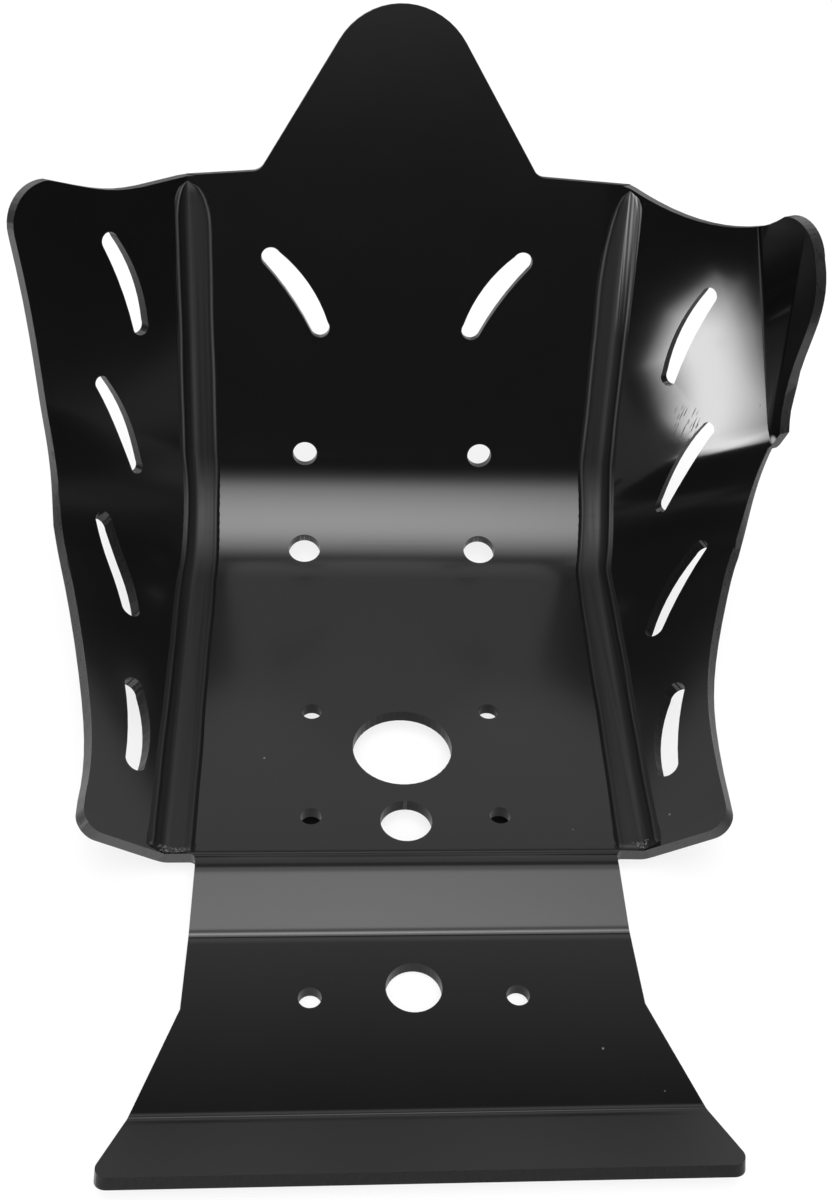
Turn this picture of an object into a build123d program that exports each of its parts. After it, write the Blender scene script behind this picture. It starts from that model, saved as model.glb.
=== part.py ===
from build123d import *
from math import asin, cos, degrees, radians, sin, tan
import os

# Motorcycle skid plate: one routed plastic sheet, hot folded into a trough with two wings and a tail.
# Frame: X to the right, Y forwards, Z up. The origin is the centre of the four floor bolt holes,
# on the inner face of the floor. Lengths are in millimetres and angles in degrees.

# Sheet and the bend between floor and front panel
sheet = 6.0
bend_radius = 56.0
front_angle = 72.5
bend_start = 129.5

# Long folds: how far the wings stand up, the distance of each fold line from the centre plane where floor
# and front panel would meet, and how much the line leans outwards (splay) on its way forwards or up
wing_angle = 40.0
left_wing_radius = 80.0
right_wing_radius = 61.0
fold_radius = 10.0
left_fold = 104.5
left_splay = 0.0
right_floor_fold = 109.8
right_floor_splay = 1.6
right_front_fold = 111.5
right_front_splay = 1.3

# Front panel: heights run up the panel from the corner where floor and panel would meet
shoulder_height = 185.0
tongue_root_height = 188.0
tongue_height = 266.5
tongue_radius = 36.0
tongue_flank_angle = 32.0
tongue_fillet = 7.0

# Wing outlines: (out from the fold, along the fold from the same corner, rearwards negative)
left_top_edge = [(12.0, 183.3), (40.0, 181.2), (62.0, 185.0)]
left_crest = (76.2, 168.5)
left_crest_radius = 20.0
left_crest_turn = 100.0
left_front_edge = [(90.5, 131.0), (86.0, 86.0), (88.5, 41.5), (101.0, 19.5)]
left_floor_edge = [
    (115.0, -29.5), (83.5, -53.5), (69.5, -84.0),
    (49.0, -152.0), (43.2, -180.0), (41.8, -213.0),
]
right_top_edge = [(17.2, 177.8), (48.9, 172.8)]
right_front_edge = [(91.8, 36.6), (102.0, 12.0)]
right_floor_edge = [
    (92.5, -54.5), (84.3, -60.5), (63.5, -95.8),
    (44.6, -156.5), (42.3, -179.0), (41.6, -212.6),
]
rear_edge = -223.5
rear_corner = (41.5, -230.5)
rear_corner_radius = 9.0

# Turned edge of the right wing, its crease on the wing and its own outline out from the crease
crease_top = (69.5, 175.1)
crease_foot = (93.2, 69.3)
flange_angle = 25.0
flange_crest = (20.6, 93.6)
flange_crest_radius = 19.0
flange_crest_turn = 95.0
flange_edge = [(36.2, 69.0), (23.0, 46.0), (13.6, 27.0), (8.8, 8.4)]

# Welded beads in the long folds
bead_height = 1.2
bead_floor_width = 11.0
bead_wing_width = 9.5
bead_tip_gap = 3.5
bead_tip_length = 10.0
left_bead_taper = 10.0
right_bead_taper = 42.0
bead_rear_gap = 2.0

# Tail: step, guard and lip, each with its length and its slope down to the rear. The inset is measured
# from the left fold to the side of the tail where it leaves the floor
floor_end = -60.5
step_length = 30.5
step_slope = 12.6
guard_length = 81.5
guard_slope = 0.9
lip_length = 28.8
lip_slope = -17.4
tail_fold_radius = 2.0
tail_inset = 13.25
tail_waist_width = 186.5
tail_waist_length = 64.8
tail_lip_width = 219.0
tail_end_width = 241.0
tail_corner_radius = 5.0
tail_notch_radius = 3.0

# Holes and slots
bolt_spacing = 84.0
bolt_rows = 64.5
bolt_hole = 9.5
drain_hole = 46.0
drain_hole_y = 9.2
access_hole = 23.0
access_hole_y = -35.1
bend_hole_spacing = 93.0
lower_bend_hole = 16.6
lower_bend_hole_run = 20.2
upper_bend_hole = 12.7
upper_bend_hole_height = 42.8
guard_bolt_run = 30.5
guard_hole_run = 26.3
slot_bulge = 3.2
slot_hollow = 1.5
wing_slot_depth = 36.0

# Curved slots: centres of the top end and the foot end, as for the wing outlines, and the width at the ends
front_slot = ((63.7, 146.0), (39.0, 110.5), 9.9)
left_front_slots = [((45.6, 157.7), (30.2, 114.4), 8.9), ((54.4, 89.6), (37.4, 43.1), 7.0)]
left_floor_slots = [((57.0, -44.9), (33.2, -88.9), 10.4), ((25.5, -138.3), (19.9, -181.2), 10.5)]
right_front_slots = [((50.1, 138.5), (33.6, 93.6), 8.4), ((59.2, 72.1), (41.7, 27.4), 7.0)]
right_floor_slots = [((57.6, -58.4), (25.7, -96.2), 10.4), ((29.1, -143.2), (18.5, -184.0), 11.0)]

# Working sizes: reach of the trimming blocks, how far a trim passes over a fold, and how steeply
# a trim opens out beyond a wing edge so that it leaves the other half of the wing alone
reach = 500.0
lap = 3.0
floor_opening = 0.05
front_opening = 0.5

across = Vector(1, 0, 0)
forwards = Vector(0, 1, 0)
up = Vector(0, 0, 1)
front_up = Vector(0, cos(radians(front_angle)), sin(radians(front_angle)))
front_inside = Vector(0, -sin(radians(front_angle)), cos(radians(front_angle)))
corner_y = bend_start + bend_radius * tan(radians(front_angle / 2))
rear_y = corner_y + rear_edge
floor_plane = Plane.XY
front_plane = Plane(origin=(0, corner_y, 0), x_dir=across, z_dir=front_inside)


def wing_plane(side, fold, splay, along, inside):
    """Flat of a wing beside one fold: local X runs out from the fold and local Y along it."""
    sideways = across * side
    fold_line = along * cos(radians(splay)) + sideways * sin(radians(splay))
    level_out = sideways * cos(radians(splay)) - along * sin(radians(splay))
    out = level_out * cos(radians(wing_angle)) + inside * sin(radians(wing_angle))
    return Plane(origin=(side * fold, corner_y, 0), x_dir=out, z_dir=out.cross(fold_line))


left_floor = wing_plane(-1, left_fold, left_splay, forwards, up)
left_front = wing_plane(-1, left_fold, left_splay, front_up, front_inside)
right_floor = wing_plane(1, right_floor_fold, right_floor_splay, forwards, up)
right_front = wing_plane(1, right_front_fold, right_front_splay, front_up, front_inside)
left_lean = tan(radians(left_splay))
right_lean = tan(radians(right_front_splay))
left_shoulder = left_fold + shoulder_height * left_lean
right_shoulder = right_front_fold + shoulder_height * right_lean

# The flange turns inwards about its crease: local X runs out from the crease and local Y up along it
crease_start = right_front.from_local_coords(Vector(*crease_foot))
crease_end = right_front.from_local_coords(Vector(*crease_top))
crease = (crease_end - crease_start).normalized()
crease_length = (crease_end - crease_start).length
crease_out = crease.cross(right_front.z_dir)
flange_out = crease_out * cos(radians(flange_angle)) + right_front.z_dir * sin(radians(flange_angle))
flange_plane = Plane(origin=crease_start, x_dir=flange_out, z_dir=flange_out.cross(crease))


def half_space(plane, inside, offset):
    """Everything on the inner side of a flat that is moved outwards by offset."""
    face = Plane(origin=plane.origin - inside * offset, x_dir=plane.x_dir, z_dir=inside)
    with BuildPart() as space:
        with BuildSketch(face):
            Rectangle(4 * reach, 4 * reach)
        extrude(amount=2 * reach)
    return space.part


def bent_space(first, second, inside_first, inside_second, radius, offset):
    """The inner side of two flats that meet in a bend of the given inside radius."""
    line = first.intersect(second)
    near_first = half_space(first, inside_first, offset)
    near_second = half_space(second, inside_second, offset)
    with BuildPart() as space:
        add(near_first)
        add(near_second, mode=Mode.INTERSECT)
        fillet(space.edges().filter_by(line).sort_by_distance(line.position)[0], radius + offset)
    return space.part


def base_space(offset):
    """The inner side of floor and front panel."""
    return bent_space(floor_plane, front_plane, up, front_inside, bend_radius, offset)


def left_space(offset):
    """The inner side of the left wing."""
    floor_inside = -left_floor.z_dir
    panel_inside = -left_front.z_dir
    return bent_space(left_floor, left_front, floor_inside, panel_inside, left_wing_radius, offset)


def right_space(offset):
    """The inner side of the right wing."""
    floor_inside = right_floor.z_dir
    panel_inside = right_front.z_dir
    return bent_space(right_floor, right_front, floor_inside, panel_inside, right_wing_radius, offset)


def flange_space(offset):
    """The inner side of the flange."""
    return half_space(flange_plane, flange_plane.z_dir, offset)


def common(*solids):
    """What all the solids share."""
    with BuildPart() as shared:
        add(solids[0])
        for solid in solids[1:]:
            add(solid, mode=Mode.INTERSECT)
    return shared.part


# The trough is the space under the outer faces less the space over the inner faces
with BuildPart() as work_block:
    with Locations((0, corner_y, 0)):
        Box(2 * reach, reach, 2 * reach)
inner_space = common(base_space(0), left_space(0), right_space(0), flange_space(0))
outer_space = common(base_space(sheet), left_space(sheet), right_space(sheet), flange_space(sheet))
nearest_fold = min(left_fold, right_floor_fold, right_front_fold)
farthest_fold = max(left_shoulder, right_floor_fold, right_shoulder)


def is_long_fold(edge):
    """True for the edges between the base and a wing, which lie beside the fold lines."""
    return nearest_fold - 2 * sheet < abs(edge.center().X) < farthest_fold + 2 * sheet


with BuildPart() as trough:
    add(common(work_block.part, outer_space))
    fillet(trough.edges().filter_by(is_long_fold), fold_radius)
    add(inner_space, mode=Mode.SUBTRACT)

# Front panel outline: shoulders and the tongue between them
tongue_apex = tongue_height - tongue_radius + tongue_radius / sin(radians(tongue_flank_angle))
tongue_root = (tongue_apex - tongue_root_height) * tan(radians(tongue_flank_angle))
with BuildPart() as panel_trim:
    with BuildSketch(front_plane) as panel_outline:
        with BuildLine():
            Polyline(
                (-reach, -reach),
                (reach, -reach),
                (reach, reach),
                (right_shoulder + lap + reach * right_lean, reach),
                (right_shoulder + lap, shoulder_height),
                (tongue_root, tongue_root_height),
                (0, tongue_apex),
                (-tongue_root, tongue_root_height),
                (-left_shoulder - lap, shoulder_height),
                (-left_shoulder - lap - reach * left_lean, reach),
                (-reach, reach),
                close=True,
            )
        make_face()
        fillet(panel_outline.vertices().sort_by_distance((0, tongue_apex))[0], tongue_radius)
        for side in (-1, 1):
            root = (side * tongue_root, tongue_root_height)
            fillet(panel_outline.vertices().sort_by_distance(root)[0], tongue_fillet)
    extrude(amount=reach, both=True)


def wing_floor_trim(plane, edge_points):
    """Prism of a wing beside the floor: its outer edge, round rear corner and rear edge."""
    with BuildPart() as trim:
        with BuildSketch(plane) as outline:
            with BuildLine():
                edge = Spline(*edge_points)
                away = edge @ 0 + Vector(reach, floor_opening * reach)
                Polyline(
                    edge @ 1,
                    rear_corner,
                    (0, rear_edge),
                    (-reach, rear_edge),
                    (-reach, reach),
                    (away.X, reach),
                    away,
                    edge @ 0,
                )
            make_face()
            fillet(outline.vertices().sort_by_distance(rear_corner)[0], rear_corner_radius)
        extrude(amount=reach, both=True)
    return trim.part


# Left wing beside the front panel: dipped top edge, round crest and the edge down to the bend
with BuildPart() as left_front_trim:
    with BuildSketch(left_front):
        with BuildLine():
            crest_top = (left_crest[0], left_crest[1] + left_crest_radius)
            top = Spline((-lap, shoulder_height), *left_top_edge, crest_top)
            crest = JernArc(top @ 1, (1, 0), left_crest_radius, -left_crest_turn)
            edge = Spline(crest @ 1, *left_front_edge, tangents=[crest % 1, (1, -1)])
            away = edge @ 1 + Vector(reach, -front_opening * reach)
            Polyline(edge @ 1, away, (-reach, away.Y), (-reach, reach), (-lap, reach), top @ 0)
        make_face()
    extrude(amount=reach, both=True)

# Right wing beside the front panel: the top edge runs to the crease, the outer edge starts at its foot
with BuildPart() as right_front_trim:
    with BuildSketch(right_front):
        with BuildLine():
            top = Spline((-lap, shoulder_height), *right_top_edge, crease_top)
            edge = Spline(crease_foot, *right_front_edge)
            away = edge @ 1 + Vector(reach, -front_opening * reach)
            beyond = edge @ 0 + (top @ 1 - edge @ 0).normalized().rotate(Axis.Z, -90) * reach
            Polyline(top @ 1, (crease_top[0], reach), (beyond.X, reach), beyond, crease_foot)
            Polyline(edge @ 1, away, (-reach, away.Y), (-reach, reach), (-lap, reach), top @ 0)
        make_face()
    extrude(amount=reach, both=True)

# Flange: a round crest that falls back to the crease's foot
with BuildPart() as flange_trim:
    with BuildSketch(flange_plane):
        with BuildLine():
            crest_top = (flange_crest[0], flange_crest[1] + flange_crest_radius)
            top = Spline((-lap, crease_length), (0, crease_length), crest_top)
            crest = JernArc(top @ 1, (1, 0), flange_crest_radius, -flange_crest_turn)
            edge = Spline(crest @ 1, *flange_edge)
            Polyline(
                edge @ 1,
                (0, 0),
                (reach, -front_opening * reach),
                (reach, -reach),
                (-reach, -reach),
                (-reach, reach),
                (-lap, reach),
                top @ 0,
            )
        make_face()
    extrude(amount=reach, both=True)

# The trimmed trough in three portions: between the folds, and the two sides
tail_half_width = left_fold - tail_inset
middle_half_width = (tongue_root + tail_half_width) / 2
with BuildPart() as middle_block:
    with BuildSketch(Plane.XY):
        with Locations((0, rear_y)):
            Rectangle(2 * middle_half_width, reach, align=(Align.CENTER, Align.MIN))
    extrude(amount=reach, both=True)
with BuildPart() as side_block:
    with BuildSketch(Plane.XY):
        with Locations((middle_half_width, 0)):
            Rectangle(reach, 2 * reach, align=(Align.MIN, Align.CENTER))
    extrude(amount=reach, both=True)

middle = common(trough.part, panel_trim.part, middle_block.part)
left_side = common(
    trough.part,
    panel_trim.part,
    left_front_trim.part,
    wing_floor_trim(left_floor, left_floor_edge),
    mirror(side_block.part, about=Plane.YZ, mode=Mode.PRIVATE),
)
right_side = common(
    trough.part,
    panel_trim.part,
    right_front_trim.part,
    flange_trim.part,
    wing_floor_trim(right_floor, right_floor_edge),
    side_block.part,
)


def downhill(point, length, slope):
    """The point that lies length further to the rear on a strip that slopes down by slope."""
    return (point[0] - length * cos(radians(slope)), point[1] - length * sin(radians(slope)))


# Tail: one bent strip, trimmed to its outline seen from above
step_top = (floor_end, 0)
step_foot = downhill(step_top, step_length, step_slope)
guard_end = downhill(step_foot, guard_length, guard_slope)
lip_end = downhill(guard_end, lip_length, lip_slope)
tail_start = rear_y + 2 * lap
waist_y = floor_end - tail_waist_length
flare = (tail_end_width - tail_lip_width) / 2 / (guard_end[0] - lip_end[0])
with BuildPart() as tail:
    with BuildSketch(Plane.YZ):
        with BuildLine():
            FilletPolyline(
                (tail_start, 0),
                step_top,
                step_foot,
                guard_end,
                lip_end,
                radius=[tail_fold_radius + sheet, tail_fold_radius, tail_fold_radius],
            )
            offset(amount=sheet, side=Side.LEFT)
        make_face()
    extrude(amount=tail_end_width, both=True)
    with BuildSketch(Plane.XY):
        with BuildLine():
            side_line = Polyline(
                (0, tail_start),
                (tail_half_width, tail_start),
                (tail_half_width, floor_end),
                (tail_waist_width / 2, waist_y),
                (tail_lip_width / 2, guard_end[0]),
                (tail_end_width / 2 + flare * sheet, lip_end[0] - sheet),
                (0, lip_end[0] - sheet),
            )
            mirror(side_line, about=Plane.YZ)
        make_face()
    extrude(amount=reach, both=True, mode=Mode.INTERSECT)
    end_face = tail.faces().sort_by(Axis.Y)[0]
    fillet(end_face.edges().filter_by(Axis.X, reverse=True), tail_corner_radius)


def fold_bead(wing_space, side, shoulder, taper):
    """Bead in a long fold: a raised strip on both sides of the corner, pointed at the top."""
    rise = sin(radians(wing_angle))
    base_border = side * (shoulder - bead_floor_width)
    wing_border = side * (shoulder + bead_wing_width * cos(radians(wing_angle)))
    tip = (side * shoulder, shoulder_height - bead_tip_gap)
    with BuildPart() as bead:
        with BuildSketch(front_plane):
            with BuildLine():
                base_side = Spline((base_border, tip[1] - taper), tip, tangents=[(0, 1), (side, 0)])
                tip_foot = (wing_border, tip[1] - bead_tip_length)
                wing_side = Spline(tip, tip_foot, tangents=[(side, 0), (0, -1)])
                Polyline(
                    wing_side @ 1,
                    (side * reach, tip[1] - taper - bead_tip_length),
                    (side * reach, -reach),
                    (0, -reach),
                    (0, tip[1] - taper - bead_tip_length),
                    base_side @ 0,
                )
            make_face()
        extrude(amount=reach, both=True)
        add(inner_space, mode=Mode.INTERSECT)
        add(base_space(-bead_wing_width * rise), mode=Mode.SUBTRACT)
        add(wing_space(-bead_floor_width * rise), mode=Mode.SUBTRACT)
        add(common(base_space(-bead_height), wing_space(-bead_height)), mode=Mode.SUBTRACT)
        with BuildSketch(Plane.XY):
            with Locations((0, rear_y + bead_rear_gap)):
                Rectangle(2 * reach, reach, align=(Align.CENTER, Align.MIN))
        extrude(amount=reach, both=True, mode=Mode.INTERSECT)
    return bead.part


left_bead = fold_bead(left_space, -1, left_shoulder, left_bead_taper)
right_bead = fold_bead(right_space, 1, right_shoulder, right_bead_taper)


def slot_shape(top, foot, width):
    """Curved slot with round ends between two end centres: hollow outside, bulged on the inner side."""
    first = Vector(*top)
    last = Vector(*foot)
    half = (first - last).length / 2
    radius = width / 2
    turn = degrees(asin((first.X - last.X) / (2 * half)))
    with BuildSketch(Plane.XY, mode=Mode.PRIVATE) as slot:
        with BuildLine():
            ThreePointArc((radius, -half), (radius - slot_hollow, 0), (radius, half))
            ThreePointArc((radius, half), (0, half + radius), (-radius, half))
            ThreePointArc((-radius, half), (-radius - slot_bulge, 0), (-radius, -half))
            ThreePointArc((-radius, -half), (0, -half - radius), (radius, -half))
        make_face()
    return slot.sketch.rotate(Axis.Z, -turn).translate((first + last) / 2)


with BuildPart() as skid_plate:
    add(middle)
    add(left_side)
    add(right_side)
    add(tail.part)
    add(left_bead)
    add(right_bead)

    # Concave corners where the tail leaves the floor
    upright = skid_plate.edges().filter_by(Axis.Z)
    left_notch = upright.sort_by_distance((-tail_half_width, rear_y, 0))[0]
    right_notch = upright.sort_by_distance((tail_half_width, rear_y, 0))[0]
    fillet([left_notch, right_notch], tail_notch_radius)

    # Floor: four bolt holes, the drain hole and the access hole
    with GridLocations(bolt_spacing, bolt_rows, 2, 2):
        Hole(bolt_hole / 2)
    with Locations((0, drain_hole_y)):
        Hole(drain_hole / 2)
    with Locations((0, access_hole_y)):
        Hole(access_hole / 2)

    # Bend and front panel: two pairs of holes and two curved slots
    turn = lower_bend_hole_run / bend_radius
    lower_plane = Plane(
        origin=(0, bend_start + bend_radius * sin(turn), bend_radius * (1 - cos(turn))),
        x_dir=across,
        z_dir=(0, -sin(turn), cos(turn)),
    )
    with Locations(lower_plane):
        with GridLocations(bend_hole_spacing, 0, 2, 1):
            Hole(lower_bend_hole / 2)
    with Locations(front_plane):
        with Locations((0, upper_bend_hole_height)):
            with GridLocations(bend_hole_spacing, 0, 2, 1):
                Hole(upper_bend_hole / 2)
    with BuildSketch(front_plane):
        right_slot = slot_shape(*front_slot)
        add(right_slot)
        add(mirror(right_slot, about=Plane.YZ, mode=Mode.PRIVATE))
    extrude(amount=2 * sheet, both=True, mode=Mode.SUBTRACT)

    # Guard: a bolt pair and an access hole between them
    guard_plane = Plane(
        origin=(0, step_foot[0], step_foot[1]),
        x_dir=across,
        z_dir=(0, -sin(radians(guard_slope)), cos(radians(guard_slope))),
    )
    with Locations(guard_plane):
        with Locations((0, -guard_bolt_run)):
            with GridLocations(bolt_spacing, 0, 2, 1):
                Hole(bolt_hole / 2)
        with Locations((0, -guard_hole_run)):
            Hole(access_hole / 2)

    # Wings: four slots each, cut deep enough for the slots that lie in the bend
    for plane, slots in (
        (left_front, left_front_slots),
        (left_floor, left_floor_slots),
        (right_front, right_front_slots),
        (right_floor, right_floor_slots),
    ):
        with BuildSketch(plane):
            for slot in slots:
                add(slot_shape(*slot))
        extrude(amount=wing_slot_depth, both=True, mode=Mode.SUBTRACT)

skid_plate.part.label = "skid_plate"
os.makedirs("parts", exist_ok=True)
export_step(skid_plate.part, "parts/skid_plate.step")
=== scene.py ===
import math
import random

import bpy
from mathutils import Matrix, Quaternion, Vector, noise


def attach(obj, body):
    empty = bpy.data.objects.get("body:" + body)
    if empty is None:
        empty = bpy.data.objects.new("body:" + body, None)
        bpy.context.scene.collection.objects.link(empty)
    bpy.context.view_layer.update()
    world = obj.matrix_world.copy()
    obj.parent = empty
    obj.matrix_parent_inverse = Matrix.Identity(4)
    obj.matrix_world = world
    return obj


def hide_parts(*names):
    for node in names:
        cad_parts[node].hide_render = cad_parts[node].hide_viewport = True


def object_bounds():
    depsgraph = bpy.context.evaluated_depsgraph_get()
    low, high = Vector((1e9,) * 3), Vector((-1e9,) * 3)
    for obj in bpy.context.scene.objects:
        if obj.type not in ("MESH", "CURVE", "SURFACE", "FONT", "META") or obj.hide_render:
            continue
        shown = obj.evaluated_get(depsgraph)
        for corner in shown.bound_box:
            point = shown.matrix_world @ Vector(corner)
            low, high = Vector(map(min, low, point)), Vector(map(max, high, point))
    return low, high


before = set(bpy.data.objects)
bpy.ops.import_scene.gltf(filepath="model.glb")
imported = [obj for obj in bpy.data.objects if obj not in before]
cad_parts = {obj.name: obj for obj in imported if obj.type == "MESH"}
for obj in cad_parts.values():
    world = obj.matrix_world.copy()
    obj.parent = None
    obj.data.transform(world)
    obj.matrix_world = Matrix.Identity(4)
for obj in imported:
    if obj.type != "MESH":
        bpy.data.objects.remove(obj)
cad_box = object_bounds()

# Sizes of the finished sheet, in metres: thickness, least plastic behind a cut face, widest opening, rounding of the
# rims, height of the solid's plain beads, and where the right wing starts across the plate.
sheet = 0.006
cut_depth = 0.010
widest_opening = 0.060
rim_round = 0.0005
bead_height = 0.0012
right_wing = 0.110

# Slack in metres: a hair off a face, points to merge, how far skin may lie below and above its place, and how far the
# plain beads sink into the sheet.
hair_off = 0.0001
merge_gap = 0.00001
skin_below = 0.0003
skin_above = 0.0002
bead_sink = 0.00005

# Angles in degrees: faces to join into one flat, and edges to shade smooth on the sheet, the beads and their ends.
flat_angle = 0.2
sheet_smooth = 30.0
bead_smooth = 60.0
lump_smooth = 50.0

# How much large faces lead when normals are evened.
large_face_weight = 60

# How square a face is to the bent face it lies on, and how nearly two faces look opposite ways, as cosines. A second
# look across an opening leans a little.
squareness = 0.985
opposed = -0.5
look_lean = 0.04

# The sheet's finishes by slot: skin, outer edge, wall of an opening, and such a wall on the right wing. The cut ones
# have a name, a shine and their palest grey; the walls' darker grey is painted shade.
on_skin, on_edge, on_wall, on_shaded_wall = range(4)
cut_finishes = [("routed_edge", 0.8, 0.03), ("opening_wall_painted_shade", 0.2, 0.01), ("shaded_wall", 0.05, 0.01)]

# The bent faces, as in the part's source: front panel, wings, and the corner that floor and panel would meet in.
front_angle = math.radians(72.5)
wing_angle = math.radians(40.0)
bend_radius = 0.056
bend_start = 0.1295
bend_reach = bend_radius * math.tan(front_angle / 2)
corner_y = bend_start + bend_reach
forwards = Vector((0.0, 1.0, 0.0))
upwards = Vector((0.0, 0.0, 1.0))
front_up = Vector((0.0, math.cos(front_angle), math.sin(front_angle)))
front_inside = Vector((0.0, -math.sin(front_angle), math.cos(front_angle)))

# The wings' folds at that corner: distance from the middle, outward lean in degrees beside the floor and beside the
# panel, and the radius of each wing's own bend.
left_fold = 0.1045
left_wing_bend = 0.080
right_floor_fold, right_floor_lean = 0.1098, 1.6
right_panel_fold, right_panel_lean = 0.1115, 1.3
right_wing_bend = 0.061

# Places of the tail's three folds, along the plate, on the inner face.
step_fold = -0.0605
guard_fold = -0.0903
lip_fold = -0.1717

# Beads in the two long folds: where they start behind and end on top, and their widths and tapers on the wing and on
# the base.
bead_rear = -0.0525
bead_top = 0.1825
left_bead = {"wing": 0.0085, "base": 0.0120, "wing_taper": 0.020, "base_taper": 0.024}
right_bead = {"wing": 0.0078, "base": 0.0115, "wing_taper": 0.014, "base_taper": 0.052}

# Steps along a bead: short ones at its torn rear, then even ones along the floor, over the bend and up the panel.
rear_steps = [0.0, 0.0004, 0.0012, 0.0025, 0.004]
floor_step, floor_steps = 0.0055, 32
bend_steps = 24
panel_steps = 48

# The bead's section from the wing's border to the base's: side, distance in from its border or out from the fold,
# height above the sheet, grey of the plastic with painted groove shade in the darkest greys at its borders, and how
# much of the painted rim highlight there is.
bead_section = [
    ("wing_border", -0.0012, -0.00015, 0.003, 0.0), ("wing_border", -0.0003, 0.00010, 0.002, 0.0),
    ("wing_border", 0.0003, 0.00090, 0.003, 0.1), ("wing_border", 0.0008, 0.00165, 0.006, 0.8),
    ("wing_border", 0.0013, 0.00180, 0.006, 0.3), ("wing_border", 0.0021, 0.00150, 0.004, 0.0),
    ("wing_border", 0.0032, 0.00132, 0.007, 0.0), ("wing", 0.0030, 0.00130, 0.009, 0.0),
    ("wing", 0.0015, 0.00132, 0.012, 0.1), ("fold", 0.0, 0.00165, 0.016, 0.25),
    ("base", 0.0015, 0.00132, 0.013, 0.15), ("base", 0.0030, 0.00130, 0.010, 0.0),
    ("base", 0.0060, 0.00130, 0.010, 0.0), ("base_border", 0.0032, 0.00132, 0.008, 0.0),
    ("base_border", 0.0021, 0.00150, 0.006, 0.0), ("base_border", 0.0013, 0.00180, 0.006, 0.6),
    ("base_border", 0.0008, 0.00165, 0.006, 1.0), ("base_border", 0.0003, 0.00090, 0.004, 0.2),
    ("base_border", -0.0003, 0.00010, 0.002, 0.0), ("base_border", -0.0012, -0.00015, 0.003, 0.0)]

# How a bead was drawn by hand: slow and quick unevenness of its borders with their pace along it, the rounding of its
# ends, its wall, and its torn rear: length, roughness, and how deep the edge is tucked in.
slow_hand, slow_pace = 0.00018, 55
quick_hand, quick_pace = 0.0001, 131
top_nose, rear_nose = 0.006, 0.002
bead_wall = 0.0006
torn_length = 0.006
torn_low, torn_high = -0.0001, 0.0003
rear_tuck = 0.0015
bead_seed = 7

# Where a fold is looked for, out from the middle, in how many halvings, and how thin a rounded end may get.
fold_nearest, fold_farthest = 0.08, 0.14
fold_halvings = 40
thinnest_nose = 0.03

# Lumps where the beads break off at the rear: distance in from the fold, ahead of the end, up, and size. Then their
# stretch across, along and up, and the size and depth of their swirls and of their ragged bits.
left_lumps = [(0.000, 0.0012, 0.0014, 0.0020), (0.0040, 0.0006, 0.0012, 0.0016), (0.0072, 0.0010, 0.0010, 0.0013),
              (-0.0030, 0.0014, 0.0030, 0.0014)]
right_lumps = [(0.0005, 0.0016, 0.0014, 0.0019), (0.0035, 0.0030, 0.0012, 0.0012), (-0.0020, 0.0030, 0.0026, 0.0013)]
lump_stretch = (1.3, 0.7, 0.6)
swirl_size, swirl_depth = 1.7, 0.55
ragged_size, ragged_depth = 4.5, 0.35

# Scuffs on the right wing by its second slot, and a painted glint at the foot of the flange's crease: place, core,
# reach, and the scuffs' directions and depth.
scuff_spot, scuff_core, scuff_reach = (0.1502, 0.1633, 0.0757), 0.004, 0.012
scuff_along = (0.26, 0.088, 0.962)
scuff_across = (-0.72, 0.681, 0.132)
scuff_depth = 0.0001
crease_glint_spot, crease_glint_core, crease_glint_reach = (0.1862, 0.1333, 0.0886), 0.0012, 0.0032

# Fine ridges and grooves that folding left across the tail: place along the plate, width and height.
fold_lines = [(step_fold + 0.0068, 0.0013, -0.0003), (step_fold, 0.0015, -0.0002),
              (guard_fold + 0.0008, 0.0010, 0.0002), (guard_fold - 0.0016, 0.0012, -0.0002),
              (lip_fold + 0.0006, 0.0008, 0.00014), (lip_fold - 0.0012, 0.0010, -0.00014)]

# Greys of the sheet, the paler one reached only on the step as a painted sheen, how cool greys are, dust, the painted
# glint at the crease's foot, and the sheet's mottle. Roughness of the right wing's upper flat, and what step, lip,
# base with left wing, the right wing below its bend and marks add to it.
sheet_greys = (0.0045, 0.02)
cool_share = 1.03
dust_grey, crease_glint_grey = 0.12, 0.7
mottle_scale, mottle_share = 18.0, 0.12
wing_gloss = (0.055, 0.07)
step_dull, lip_dull, base_dull, below_bend_dull, mark_dull = 0.26, 0.24, 0.12, 0.13, 0.15

# Soft relief of the sheet: how sharp its zones end, the step's rise, the slope that lets the wings' rear look flatter,
# and the sweep beside the right wing's bend.
zone_blur = 0.001
step_rise = 0.0020
rear_slope = -0.24
sweep_height, sweep_reach = 0.0022, 0.045

# Borders of the sheet's zones: right wing and base across the plate, the tail's fold lines across and along it, the
# flatter rear of the wings along it, and the dull part below the right wing's bend, from where that runs out.
right_border = (0.105, 0.110)
base_border = (0.100, 0.112)
tail_side, tail_front = (0.094, 0.098), (-0.075, -0.070)
flatter_rear = (-0.05, 0.10)
below_bend = (-0.035, -0.005)

# The part of its range that noise mostly fills.
noise_span = (0.3, 0.7)

# Handling marks: stretch and noise of the strokes, and how dense, how large and how seldom specks of dust are.
stroke_stretch, stroke_noise = (75.0, 1500.0, 300.0), (0.64, 0.72)
speck_scale, speck_size, dust_free = 95.0, (0.03, 0.06), 0.95

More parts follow.
